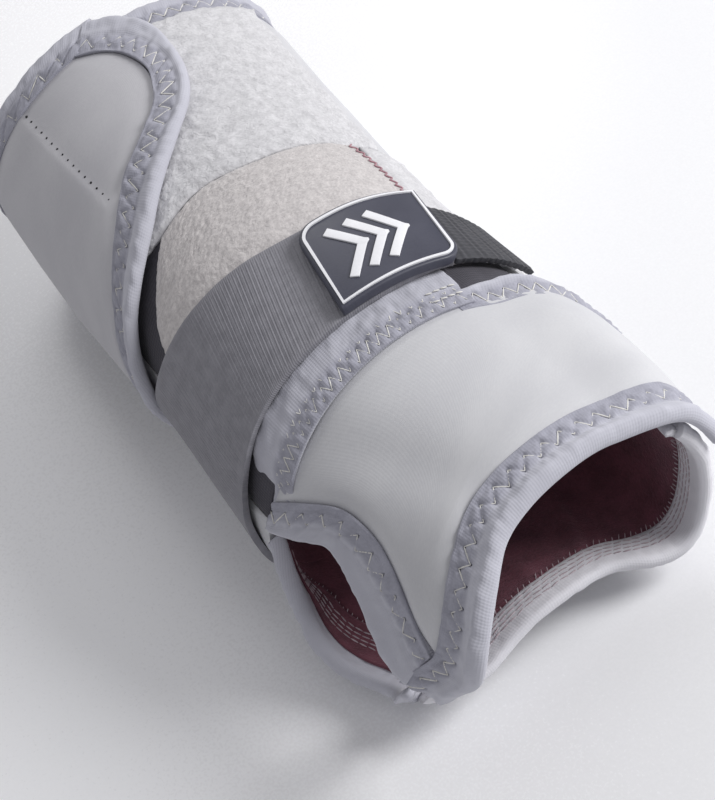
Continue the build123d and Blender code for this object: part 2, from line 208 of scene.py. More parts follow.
# %% The sheet helper
def vertex_places(mesh):
    flat = np.zeros(len(mesh.vertices) * 3, np.float32)
    mesh.vertices.foreach_get("co", flat)
    return flat.reshape(-1, 3).astype(float)


def shape_mesh(mesh, points, cut):
    """Moves the vertices to points, in metres, and notes their flat places, in mm, as the UV map."""
    mesh.vertices.foreach_set("co", points.astype(np.float32).ravel())
    corner = np.zeros(len(mesh.loops), np.int32)
    mesh.loops.foreach_get("vertex_index", corner)
    cloth = mesh.uv_layers.get("cloth") or mesh.uv_layers.new(name="cloth")
    cloth.data.foreach_set("uv", (cut * MM)[corner].astype(np.float32).ravel())


def sheet_mesh(name, count_u, count_v, shape, tube=False):
    """A grid whose vertices go where shape(u, v) says; it also gives the flat places in mm."""
    bm = bmesh.new()
    bm.loops.layers.uv.new("cloth")
    segments = [max(1, round(count)) for count in (count_u, count_v)]
    bmesh.ops.create_grid(bm, x_segments=segments[0], y_segments=segments[1], size=0.5)
    mesh = bpy.data.meshes.new(name)
    bm.to_mesh(mesh)
    bm.free()
    u, v = vertex_places(mesh)[:, 0] + 0.5, vertex_places(mesh)[:, 1] + 0.5
    shape_mesh(mesh, *shape(u, v))
    if tube:
        close_tube(mesh)
    mesh.polygons.foreach_set("use_smooth", [True] * len(mesh.polygons))
    mesh.update()
    return mesh


def close_tube(mesh, caps=True):
    """Joins the two long sides of a sheet that was bent into a tube, and may cap its ends."""
    bm = bmesh.new()
    bm.from_mesh(mesh)
    bmesh.ops.remove_doubles(bm, verts=bm.verts, dist=1e-6)
    if caps:
        bmesh.ops.holes_fill(bm, edges=[edge for edge in bm.edges if edge.is_boundary], sides=0)
    bmesh.ops.recalc_face_normals(bm, faces=bm.faces)
    bm.to_mesh(mesh)
    bm.free()


def face_outwards(mesh, outward):
    """Turns an open sheet's faces over if its middle face looks inwards."""
    middle = mesh.polygons[len(mesh.polygons) // 2]
    if middle.normal.dot(outward(middle.center)) < 0:
        mesh.flip_normals()


def away_from_axis(point):
    return Vector((0, point.y, point.z - AXIS_HEIGHT * MM))


def add_piece(name, mesh, material, nodes=(), body="brace"):
    """A finished mesh becomes a piece that rides on a body; given a blend's four values instead, it is only
    baked in place.
    """
    piece = bpy.data.objects.new(name, mesh)
    bpy.context.scene.collection.objects.link(piece)
    mesh.materials.clear()
    mesh.materials.append(material)
    if nodes:
        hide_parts(*nodes)
    if isinstance(body, str):
        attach(piece, body)
    else:
        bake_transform(piece)
    made[name] = piece
    return piece


made = {}

# %% [markdown]
# ## Where the cloth bends
# The strap, the side flap and the end of the hand panel peel open. Their cloth is sewn on and
# simply bends at the root. Each bending line names the brace, the moving body and two spots on
# the line; the pieces given one are only baked in place here.

# %% Bending lines
STRAP_BEND = ("brace", "wrist_strap", spot(18, -112, 5), spot(18, -76, 6))
FLAP_BEND = ("brace", "side_flap", spot(-51, -112, 5), spot(-51, -76, 6))
CLOSURE_BEND = ("brace", "hand_closure", spot(66, 21, 3), spot(66, 41, 3))
print("bends", [bend[1] for bend in (STRAP_BEND, FLAP_BEND, CLOSURE_BEND)])

# %% [markdown]
# ## Materials: shared effects
# Cloth looks like cloth because of three things: its tone wanders a little, its yarns make a
# fine relief, and its surface fibres catch light at the rim. The first two are built once as
# node groups. The rim light is the shader's own sheen.


# %% Node groups
def new_group(name, inputs, outputs):
    group = bpy.data.node_groups.new(name, "ShaderNodeTree")
    for socket, kind, value in inputs:
        made_socket = group.interface.new_socket(socket, in_out="INPUT", socket_type="NodeSocket" + kind)
        if value is not None:
            made_socket.default_value = value
    for socket, kind in outputs:
        group.interface.new_socket(socket, in_out="OUTPUT", socket_type="NodeSocket" + kind)
    return group, group.nodes.new("NodeGroupInput"), group.nodes.new("NodeGroupOutput")


def add_node(tree, kind, settings=None, **inputs):
    """Adds a node, sets its properties, and links or sets each named input."""
    node = tree.nodes.new("ShaderNode" + kind)
    for key, value in (settings or {}).items():
        setattr(node, key, value)
    for key, value in inputs.items():
        numbered = key[0] == "i" and key[1:].isdigit()
        socket = node.inputs[int(key[1:]) if numbered else key.replace("_", " ")]
        if isinstance(value, bpy.types.NodeSocket):
            tree.links.new(value, socket)
        else:
            socket.default_value = value
    return node


def tone_group():
    """Mixes two tones in soft patches and specks them with fine fibre."""
    inputs = [("Vector", "Vector", None), ("Tone", "Color", None), ("Second tone", "Color", None),
              ("Patch scale", "Float", 90.0), ("Fibre scale", "Float", 1500.0), ("Fibre share", "Float", 0.3)]
    group, start, end = new_group("cloth_tone", inputs, [("Color", "Color"), ("Patch", "Float")])
    patch, fibre = (add_node(group, "TexNoise", Vector=start.outputs["Vector"],
                             Scale=start.outputs[size], Detail=detail)
                    for size, detail in (("Patch scale", 3.0), ("Fibre scale", 2.0)))
    share = add_node(group, "Mix", {"data_type": "FLOAT"}, i0=start.outputs["Fibre share"],
                     i2=patch.outputs["Fac"], i3=fibre.outputs["Fac"])
    spread = add_node(group, "MapRange", {"interpolation_type": "SMOOTHSTEP"}, Value=share.outputs[0],
                      From_Min=0.32, From_Max=0.68)
    tint = add_node(group, "Mix", {"data_type": "RGBA"}, i0=spread.outputs[0],
                    i6=start.outputs["Tone"], i7=start.outputs["Second tone"])
    group.links.new(tint.outputs[2], end.inputs["Color"])
    group.links.new(spread.outputs[0], end.inputs["Patch"])
    return group


def weave_group():
    """Crossed ribs: rows one way and columns the other, as in a knit or a webbing."""
    inputs = [("Vector", "Vector", None), ("Rows", "Float", 500.0), ("Columns", "Float", 500.0),
              ("Row share", "Float", 0.5)]
    group, start, end = new_group("weave_relief", inputs, [("Height", "Float")])
    waves = []
    for axis, count in (("X", "Rows"), ("Y", "Columns")):
        scale = add_node(group, "Math", {"operation": "MULTIPLY"}, i0=start.outputs[count], i1=0.314)
        waves.append(add_node(group, "TexWave", {"bands_direction": axis}, Vector=start.outputs["Vector"],
                              Scale=scale.outputs[0], Distortion=0.6, Detail=1.0))
    height = add_node(group, "Mix", {"data_type": "FLOAT"}, i0=start.outputs["Row share"],
                      i2=waves[1].outputs["Fac"], i3=waves[0].outputs["Fac"])
    group.links.new(height.outputs[0], end.inputs["Height"])
    return group


def nap_group():
    """Short brushed fibre: small round tufts under finer noise."""
    inputs = [("Vector", "Vector", None), ("Tuft scale", "Float", 900.0), ("Matting", "Float", 0.5)]
    group, start, end = new_group("nap_relief", inputs, [("Height", "Float"), ("Depth", "Float")])
    where = {"Vector": start.outputs["Vector"], "Scale": start.outputs["Tuft scale"]}
    tuft = add_node(group, "TexVoronoi", {"feature": "SMOOTH_F1"}, **where)
    hair = add_node(group, "TexNoise", Detail=5.0, Distortion=1.6, **where)
    height = add_node(group, "Mix", {"data_type": "FLOAT"}, i0=start.outputs["Matting"],
                      i2=tuft.outputs["Distance"], i3=hair.outputs["Fac"])
    group.links.new(height.outputs[0], end.inputs["Height"])
    group.links.new(hair.outputs["Fac"], end.inputs["Depth"])
    return group


TONE, WEAVE, NAP = tone_group(), weave_group(), nap_group()
print("groups", [group.name for group in (TONE, WEAVE, NAP)])

# %% [markdown]
# ## Materials: the finishes
# One function dresses every finish: two tones, a relief from the weave or the nap, a roughness
# that wanders with the tone, sheen for fibre and, on tapes, a painted highlight along the fold.
# Uniform values go straight on the shader.


# %% The finish function
def light(red, green, blue):
    """A display colour from 0 to 255 as the linear colour that Blender uses."""
    return tuple(((c / 255 + 0.055) / 1.055) ** 2.4 for c in (red, green, blue)) + (1.0,)


def group_node(tree, group, **inputs):
    return add_node(tree, "Group", {"node_tree": group}, **inputs)


def fold_highlight_group():
    """From 0 on a tape's stitched face to 1 on its soft fold, by the distance across the cut: where the
    fold's painted highlight goes.
    """
    inputs = [("Vector", "Vector", None), ("Start", "Float", 6.6 * MM), ("End", "Float", 9.2 * MM)]
    group, start, end = new_group("tape_fold_highlight", inputs, [("Mask", "Float")])
    across = add_node(group, "SeparateXYZ", Vector=start.outputs["Vector"])
    highlight_mask = add_node(group, "MapRange", {"interpolation_type": "SMOOTHSTEP"}, Value=across.outputs["Y"],
                    From_Min=start.outputs["Start"], From_Max=start.outputs["End"])
    group.links.new(highlight_mask.outputs[0], end.inputs["Mask"])
    return group


FOLD_HIGHLIGHT = fold_highlight_group()


def finish(name, tone, second, rough=(0.75, 0.9), relief=None, depth=0.05, sheen=0.0, coords="UV",
           patch=90.0, fibre=1500.0, share=0.35, sheen_tint=(1, 1, 1, 1), fold_highlight=None, **shader):
    """relief is a group and its inputs; depth is its height in mm; the fold colour is a paler tone painted on
    a tape's fold as a highlight.
    """
    material = bpy.data.materials.new(name)
    material.use_nodes = True
    tree = material.node_tree
    skin_shader = tree.nodes["Principled BSDF"]
    where = tree.nodes.new("ShaderNodeTexCoord").outputs[coords]
    cloth = group_node(tree, TONE, Vector=where, Tone=light(*tone), Second_tone=light(*second),
                       Patch_scale=patch, Fibre_scale=fibre, Fibre_share=share)
    colour = cloth.outputs["Color"]
    # Painted highlight: a tape's fold is coloured paler, as if light falls on it.
    if fold_highlight:
        highlight_mask = group_node(tree, FOLD_HIGHLIGHT, Vector=where)
        painted_fold_highlight = add_node(tree, "Mix", {"data_type": "RGBA"}, i0=highlight_mask.outputs["Mask"],
                         i6=colour, i7=light(*fold_highlight))
        colour = painted_fold_highlight.outputs[2]
    tree.links.new(colour, skin_shader.inputs["Base Color"])
    gloss = add_node(tree, "MapRange", Value=cloth.outputs["Patch"], To_Min=rough[0], To_Max=rough[1])
    tree.links.new(gloss.outputs[0], skin_shader.inputs["Roughness"])
    if relief:
        group, values = relief
        pattern_node = group_node(tree, group, Vector=where, **values)
        height = pattern_node.outputs["Height"]
        bump = add_node(tree, "Bump", Height=height, Strength=1.0, Distance=depth * MM)
        tree.links.new(bump.outputs[0], skin_shader.inputs["Normal"])
    skin_shader.inputs["Sheen Weight"].default_value = sheen
    skin_shader.inputs["Sheen Roughness"].default_value = 0.5
    skin_shader.inputs["Sheen Tint"].default_value = sheen_tint
    for key, value in shader.items():
        skin_shader.inputs[key.replace("_", " ")].default_value = value
    return material


# %% The finishes of this brace
def weave(rows, columns, share=0.5):
    return WEAVE, {"Rows": float(rows), "Columns": float(columns), "Row share": share}


def nap(tuft_scale, matting):
    return NAP, {"Tuft_scale": float(tuft_scale), "Matting": matting}


def thread(name, tone, second, sheen=0.1):
    return finish(name, tone, second, (0.5, 0.7), nap(3000, 0.8), 0.03, sheen, coords="Object", patch=400.0)


SMOOTH = finish("smooth_grey_fabric", (192, 192, 196), (201, 201, 204), (0.62, 0.75),
                weave(2600, 2600), 0.012, 0.12, patch=60.0)
FLAP_CLOTH = finish("side_flap_fabric", (182, 181, 186), (192, 191, 195), (0.66, 0.8),
                    weave(2600, 2600), 0.012, 0.12, patch=60.0)
# The fold colours of the two tapes are painted highlights along their soft folds.
TAPE = finish("lavender_tape", (146, 146, 158), (166, 166, 178), (0.7, 0.9),
              weave(1500, 1900), 0.05, 0.2, patch=160.0, fold_highlight=(184, 184, 194))
PALE_TAPE = finish("pale_tape", (190, 189, 197), (208, 207, 213), (0.7, 0.9),
                   weave(1500, 1900), 0.05, 0.25, patch=160.0, fold_highlight=(214, 213, 219))
PILE = finish("loop_pile", (190, 189, 192), (214, 213, 216), (0.9, 1.0),
              nap(750, 0.75), 0.4, 0.35, patch=300.0, share=0.5)
VELOUR = finish("warm_velour", (182, 177, 177), (208, 203, 202), (0.92, 1.0),
                nap(1100, 0.5), 0.35, 0.35, patch=380.0, share=0.55)
DARK_CLOTH = finish("dark_base_cloth", (58, 56, 64), (72, 70, 78), (0.85, 0.95),
                    weave(1100, 1100), 0.08, 0.15)
ELASTIC = finish("grey_elastic", (124, 123, 130), (140, 139, 146), (0.6, 0.8),
                 weave(1500, 900, 0.7), 0.06, 0.1, patch=300.0)
WEBBING = finish("charcoal_webbing", (48, 48, 54), (62, 62, 68), (0.6, 0.8),
                 weave(900, 700), 0.15, 0.1)
LINING = finish("burgundy_lining", (84, 44, 55), (112, 64, 76), (0.85, 1.0),
                nap(1300, 0.6), 0.3, 0.4, patch=160.0, sheen_tint=(0.9, 0.6, 0.7, 1))
FOAM = finish("pad_foam", (206, 202, 190), (220, 217, 207), (0.9, 1.0),
              nap(900, 0.2), 0.3, 0.0)
RUBBER = finish("slate_rubber", (62, 63, 76), (72, 73, 86), (0.42, 0.55),
                nap(2400, 0.8), 0.02, 0.0)
WHITE_RUBBER = finish("white_rubber", (226, 226, 230), (236, 236, 240), (0.42, 0.55),
                      nap(2400, 0.8), 0.015, 0.0)
THREAD = thread("pale_thread", (206, 204, 200), (228, 226, 220))
SEAM_THREAD = thread("inner_seam_thread", (150, 134, 141), (186, 172, 178))
PINK_THREAD = thread("pink_thread", (150, 106, 116), (176, 134, 142))
# Painted shade: a near-black finish for balls that stand for the shadow in needle holes.
NEEDLE_HOLE_SHADE = thread("painted_needle_hole_shade", (20, 20, 24), (34, 34, 40), 0.0)
STAY_PLASTIC = finish("stay_plastic", (224, 222, 216), (232, 230, 225), (0.35, 0.45),
                      nap(1800, 0.9), 0.015, 0.0, coords="Object")
HOOK = finish("hook_tape", (38, 38, 42), (58, 58, 64), (0.35, 0.5),
              nap(1000, 0.05), 0.6, 0.0, coords="Object")
METAL = finish("satin_strip", (206, 208, 212), (216, 218, 222), (0.28, 0.42),
               nap(900, 1.0), 0.01, 0.0, coords="Object", Metallic=1.0)
print("finishes", len(bpy.data.materials))

# %% [markdown]
# ## Camera, floor and light
# The camera looks down on the back of the hand from the finger end, and is rolled so that the
# brace runs from upper left to lower right. One large soft lamp from the little finger side
# shapes the folds, and a weak wide one fills the thumb side.

# %% The camera
TURN, TILT, ROLL = math.radians(40.5), math.radians(15.6), math.radians(46.6)
DISTANCE, LENS = 0.525, 99.0
towards = Vector((math.sin(TURN), -math.cos(TURN) * math.sin(TILT), math.cos(TURN) * math.cos(TILT)))
level_right = (Vector((1, 0, 0)) - towards * towards.x).normalized()
level_up = towards.cross(level_right)
right = level_right * math.cos(ROLL) + level_up * math.sin(ROLL)
up = level_up * math.cos(ROLL) - level_right * math.sin(ROLL)
AIM_RIGHT, AIM_DOWN = 0.0191, 0.0377  # how far the lens looks past the limb's axis, as slopes
back = (towards - right * AIM_RIGHT + up * AIM_DOWN).normalized()
camera_right = (right - back * right.dot(back)).normalized()
camera = bpy.data.objects.new("camera", bpy.data.cameras.new("camera"))
bpy.context.scene.collection.objects.link(camera)
camera.data.lens, camera.data.sensor_width = LENS, 36.0
axes = Matrix((camera_right, back.cross(camera_right), back)).transposed().to_4x4()
camera.matrix_world = Matrix.Translation(Vector((0, 0, AXIS_HEIGHT * MM)) + towards * DISTANCE) @ axes
camera.data.clip_start, camera.data.clip_end = 0.01, 20
bpy.context.scene.camera = camera


# %% Lamps and floor
def lamp(name, direction, distance, size, power, colour=(1, 1, 1)):
    data = bpy.data.lights.new(name, "AREA")
    data.shape, data.size, data.energy, data.color = "DISK", size, power, colour
    item = bpy.data.objects.new(name, data)
    bpy.context.scene.collection.objects.link(item)
    direction = direction.normalized()
    item.location = direction * distance
    item.rotation_euler = direction.to_track_quat("Z", "Y").to_euler()


lamp("key", towards * 0.55 + right * 0.8 + up * 0.7, 0.9, 0.4, 7.0)
lamp("fill", towards * 0.9 - right * 0.8 - up * 0.1, 1.2, 1.0, 1.0, (0.97, 0.97, 1.0))
lamp("rim", Vector((-0.9, 0.3, 0.7)), 1.0, 0.5, 2)

world = bpy.data.worlds.new("studio")
world.use_nodes = True
world.node_tree.nodes["Background"].inputs["Color"].default_value = (0.97, 0.97, 1.0, 1)
world.node_tree.nodes["Background"].inputs["Strength"].default_value = 0.36
bpy.context.scene.world = world
bpy.context.scene.view_settings.view_transform = "Standard"

FLOOR = finish("pale_floor", (238, 238, 240), (244, 244, 246), (0.22, 0.3),
               nap(60, 1.0), 0.01, 0.0, coords="Object", patch=3.0)
FLOOR_SIZE, FLOOR_DROP = 4, 0.0002  # metres


def floor_shape(u, v):
    flat = np.stack([(u - 0.5) * FLOOR_SIZE, (v - 0.5) * FLOOR_SIZE, u * 0 - FLOOR_DROP], -1)
    return flat, np.stack([u, v], -1)


floor_mesh = sheet_mesh("floor", 8, 8, floor_shape)
floor_mesh.materials.append(FLOOR)
floor = bpy.data.objects.new("floor", floor_mesh)
bpy.context.scene.collection.objects.link(floor)
print("camera height in mm", round(camera.location.z / MM))

# %% [markdown]
# ## Flat layers
# A panel, a lining or a strap is a patch with a thickness. We shape its outer face, let a
# Solidify modifier give it its wall, and round the rim with a small bevel.


# %% The layer helper
def layer(name, place, low, high, step=1.5, relief=None, rim=0.4, cut_lift=2.0):
    """A sheet from lift low to lift high; relief(x, angle, a, b, edge) adds mm to its outer face."""
    along, across = lengths(place, cut_lift)
    step_along, step_across = step if isinstance(step, tuple) else (step, step)

    def shape(u, v):
        spots = place(u, v)
        a, b = u * along, v * across
        edge = np.minimum(np.minimum(a, along - a), np.minimum(b, across - b))
        lift = high(spots[..., 1]) if callable(high) else np.full(len(u), float(high))
        if relief:
            lift = lift + relief(spots[..., 0], spots[..., 1], a, b, edge)
        return on_limb(spots, lift), np.stack([a, b], -1)

    mesh = sheet_mesh(name, along / step_along, across / step_across, shape)
    face_outwards(mesh, away_from_axis)
    thickness = (high(np.array([0.0]))[0] if callable(high) else high) - low
    return name, mesh, thickness * MM, rim * MM


def add_layer(built, material, nodes=None, body="brace", padded=None):
    """Adds a layer with its wall and rounded rim; it replaces the node of its name, or nodes."""
    name, mesh, thickness, rim = built
    piece = add_piece(name, mesh, material, [name] if nodes is None else nodes, body)
    wall = piece.modifiers.new("wall", "SOLIDIFY")
    wall.thickness, wall.offset = thickness, -1.0
    if rim:
        round_rim = piece.modifiers.new("round_rim", "BEVEL")
        round_rim.width, round_rim.segments, round_rim.limit_method = rim, 2, "ANGLE"
        round_rim.angle_limit = math.radians(60)
    if padded is not None:
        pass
    else:
        declare_sheet(piece, mesh)


def declare_sheet(piece, mesh):
    """Prints the flat size, which is the cut in the UV map, and the area, which is the cloth's own."""
    cut = np.zeros(len(mesh.loops) * 2, np.float32)
    mesh.uv_layers["cloth"].data.foreach_get("uv", cut)
    width, length = (float(x) for x in cut.reshape(-1, 2).max(0) - cut.reshape(-1, 2).min(0))
    area = sum(face.area for face in mesh.polygons)
    scale = math.sqrt(max(1.0, area / (width * length)))
    width, length = width * scale, length * scale
    area = min(area, width * length)
    print(f"sheet {piece.name}: {width / MM:.0f} x {length / MM:.0f} mm, {area * 1e4:.0f} cm2")


# %% [markdown]
# ## Lining
# The inside is one brushed burgundy cloth. It is the only thing seen through the openings, so
# it gets a few soft creases where the wrap closes round the hand.

# %% Forearm and hand linings
WRIST_LINE = [(47.8, -80), (46, -55), (42.5, -12), (39, 29.6), (39.8, 50), (42.6, 70), (43.2, 110),
              (44.2, 168), (45.4, 220), (46.2, 267), (46.4, 278)]
DORSAL_EDGE = [(102, -114), (108, -98), (110, -80), (108.5, -62), (104, -43), (98.5, -26), (96, -11),
               (94.5, 5), (93.4, 20), (93.3, 34), (94, 48), (95, 66), (97, 82)]
DORSAL_INNER = [(92.5, -108), (97.8, -93), (98.8, -78), (97.5, -62), (93, -43), (88, -26), (85.6, -11),
                (84.3, 5), (83.5, 20), (83.4, 34), (83.6, 46), (84, 62), (85.5, 77)]
VOLAR_EDGE = [(93.5, 66), (96.5, 88), (97, 108), (98, 130), (96.5, 147), (93, 163), (93.3, 181),
              (94.5, 207), (96.6, 221), (97, 231), (94.5, 240)]
VOLAR_INNER = [(84.5, 66), (87, 88), (87.5, 108), (88.5, 130), (87.3, 147), (84.5, 163), (84.8, 181),
               (86, 207), (88, 221), (89.2, 229), (88.8, 235)]
CLOSURE_PROXIMAL = [(39.6, 24), (39.5, 30.4), (39.4, 39), (40.6, 50), (44.2, 61), (50, 74), (57, 86)]
CLOSURE_PROXIMAL_INNER = [(46, 24), (46.6, 30.4), (48, 38), (48.6, 48), (51, 58), (55, 69), (60.5, 79)]
THUMB_TOP = [(47, -88), (55, -82), (60, -77), (66, -72.5), (72, -79), (78.5, -90), (86, -101), (93.5, -109.5)]
THUMB_TOP_INNER = [(48, -70), (56, -61), (64, -54), (71, -53.5), (78.5, -57), (86, -66), (92.5, -79),
                   (97.5, -91)]
THUMB_BOTTOM = [(47.2, 268), (54, 250), (62, 245), (71, 239.5), (79, 236.5), (86, 238), (93, 249)]
THUMB_BOTTOM_INNER = [(47.2, 252), (53, 235), (61, 229.5), (70.5, 224), (79, 220.5), (86, 222), (90.5, 232)]

FOREARM_START, FOREARM_SEAM = -96, -80


def brushed(x, angle, a, b, edge):
    return 0.05 * bumps(a, b, 1.3, 3) + 0.04 * bumps(a, b, 0.7, 4)


forearm_place = pattern(ring(FOREARM_START, FOREARM_SEAM, 278, 11), WRIST_LINE)
add_layer(layer("forearm_lining", forearm_place, 0.0, 0.9, 1.6, brushed, 0.2),
          LINING)

HAND_WRIST = [(48, -70), (47.6, -56), (43.6, -14), (41, 18), (42.4, 30.4), (43.6, 45), (47, 60), (52, 73),
              (57.5, 82.5)]
HAND_THUMB = THUMB_TOP_INNER[:-1] + [(98.2, -88)]
HAND_ULNAR = [(57.5, 82.5), (66, 82), (76, 80.5), (85.7, 77)]
HAND_DISTAL = [(98.2, -88)] + shifted(DORSAL_INNER[2:-1], 0.3) + [(85.7, 77)]
hand_place = pattern(HAND_THUMB, HAND_ULNAR, HAND_WRIST, HAND_DISTAL)


RAMP_START, RAMP_SPAN = 30.4, 30  # degrees


def closure_rise(low, high):
    """A lift that ramps out from low to high over the little finger side of the hand."""
    return lambda angle: mix(low, high, smooth((angle - RAMP_START) / RAMP_SPAN))


lining_place = pattern(HAND_THUMB, [(47, 60), (66, 61), (84.3, 62)], HAND_WRIST[:7], HAND_DISTAL[:11])
add_layer(layer("hand_lining", lining_place, 0.05, closure_rise(0.95, 4.45), 1.5, brushed, 0.2),
          LINING, ["hand_dorsal_lining", "closure_lining"], CLOSURE_BEND)
PALM_START = [(43, 64), (63, 64), (84.5, 64)]
PALM_WRIST = [(43, 64), (42.9, 110), (43.8, 170), (45, 215), (45.8, 252)]
PALM_THUMB = [(45.8, 252)] + THUMB_BOTTOM_INNER[1:-1] + [(88.4, 222.5)]
PALM_DISTAL = [(84.5, 64)] + shifted(VOLAR_INNER[1:-3], 0.3) + [(88.4, 222.5)]
palm_place = pattern(PALM_START, PALM_THUMB, PALM_WRIST, PALM_DISTAL)


def palm_creases(x, angle, a, b, edge):
    first = np.exp(-(((angle - 160 - 0.5 * (x - 70)) / 2.6) ** 2))
    second = np.exp(-(((angle - 192 + 0.3 * (x - 70)) / 2.2) ** 2))
    return brushed(x, angle, a, b, edge) - 1.0 * first - 0.7 * second + 0.2 * bumps(a, b, 9, 29)


add_layer(layer("palm_lining", palm_place, 0.0, 0.9, 1.3, palm_creases, 0.2),
          LINING, ["palm_lining", "ulnar_lining"])

# %% [markdown]
# ## Outer panels
# Smooth laminated fabric over thin foam. Between its taped edges it swells a little, and it
# dips in soft hollows where the hand below gives way.

# %% Outer panels of the hand, palm and forearm
PANEL_TOP = 3.5


def hollow(x, angle, at_x, at_angle, length, width, lean, depth):
    """A soft valley at a place; lean turns it from the limb's direction, in degrees."""
    turn = math.radians(lean)
    a, b = x - at_x, (angle - at_angle) * MM_PER_DEGREE
    along, across = a * math.cos(turn) + b * math.sin(turn), b * math.cos(turn) - a * math.sin(turn)
    return -depth * np.exp(-((along / length) ** 2) - (across / width) ** 2)


def hand_relief(x, angle, a, b, edge):
    swell = 0.9 * smooth(edge / 9)
    valley = hollow(x, angle, 70, -28, 26, 7, 20, 0.9) + hollow(x, angle, 62, 18, 16, 9, 60, 0.5)
    return swell + valley + 0.12 * bumps(a, b, 14, 5) - 0.45 * np.exp(-((edge / 1.6) ** 2))


add_layer(layer("hand_dorsal_panel", hand_place, 1.0, closure_rise(PANEL_TOP, 7.0), 1.2, hand_relief, 0.4),
          SMOOTH, ["hand_dorsal_panel", "hand_closure"], CLOSURE_BEND, padded=0.4)


def panel_relief(x, angle, a, b, edge):
    return 0.5 * smooth(edge / 8) + 0.15 * bumps(a, b, 16, 6) - 0.4 * np.exp(-((edge / 1.6) ** 2))


add_layer(layer("palm_cover", palm_place, 2.4, 3.4, 1.5, panel_relief, 0.3),
          SMOOTH, ["palm_cover", "ulnar_panel"])
palm_pad_place = pattern([(47, 132), (63, 132), (80, 132)], [(50, 236), (63, 221), (80, 213)])
add_layer(layer("palm_pad", palm_pad_place, 1.05, 2.2, 2.0, None, 0.3), FOAM, padded=0.7)

volar_forearm = pattern(ring(-89.5, 61, 278, 11), [(41.4, 61)] + WRIST_LINE[6:])
add_layer(layer("forearm_volar_panel", volar_forearm, 1.0, PANEL_TOP, 1.8, panel_relief, 0.4),
          SMOOTH, padded=0.4)
dorsal_forearm = pattern(ring(-89.5, -80, 60.8, 9), WRIST_LINE[:4] + [(39.5, 46), (41.3, 60.8)])
add_layer(layer("forearm_dorsal_cover", dorsal_forearm, 2.4, PANEL_TOP, 1.8, None, 0.3),
          DARK_CLOTH)

STAY_ANGLES, STAY_HALF_ANGLE = (-35, 35), 6
foam_bounds = [-80]
for angle in STAY_ANGLES:
    foam_bounds += [angle - STAY_HALF_ANGLE - 1, angle + STAY_HALF_ANGLE + 1]
foam_bounds.append(68)
for number, (start, end) in enumerate(zip(foam_bounds[::2], foam_bounds[1::2]), 1):
    add_layer(layer(f"foam_core_{number}", strip(-88, 38, start, end), 1.05, 2.25, 3.0, None, 0.3),
              FOAM, ["foam_core"], padded=0.8)

# %% [markdown]
# ## Edge tape
# Each raw edge is wrapped in a folded knit tape and held by a zigzag seam. The tape is one
# closed tube: a flat stitched face, a soft roll over the edge and an inner face. The thread
# pulls the tape down along its line and at each needle hole, and the cloth between puffs up.


# %% The tape helper
def route(inner, fold, lift):
    """A tape's length in mm, and the shares of its edges at a distance along it."""
    t = np.linspace(0, 1, 800)
    middle = on_limb(mix(through(inner, t), through(fold, t), 0.5), lift)
    run = np.concatenate([[0], np.cumsum(np.linalg.norm(np.diff(middle, axis=0), axis=1))]) / MM
    return run[-1], lambda s: np.interp(s, run, t)


def zigzag(s, c, pitch, near, far, width=0.5):
    """From 0 to 1 close to a zigzag thread, and the same close to its needle holes."""
    phase = (s / pitch) % 1
    line = mix(near, far, 1 - np.abs(2 * phase - 1))
    steep = 2 * (far - near) / pitch
    inside = smooth((c - near + 0.5) / 0.5) * smooth((far + 0.5 - c) / 0.5)
    thread = np.exp(-((((c - line) / math.hypot(1, steep)) / width) ** 2)) * inside
    from_near = np.hypot((np.minimum(phase, 1 - phase)) * pitch, c - near)
    from_far = np.hypot((phase - 0.5) * pitch, c - far)
    return thread, np.exp(-((np.minimum(from_near, from_far) / 0.5) ** 2))


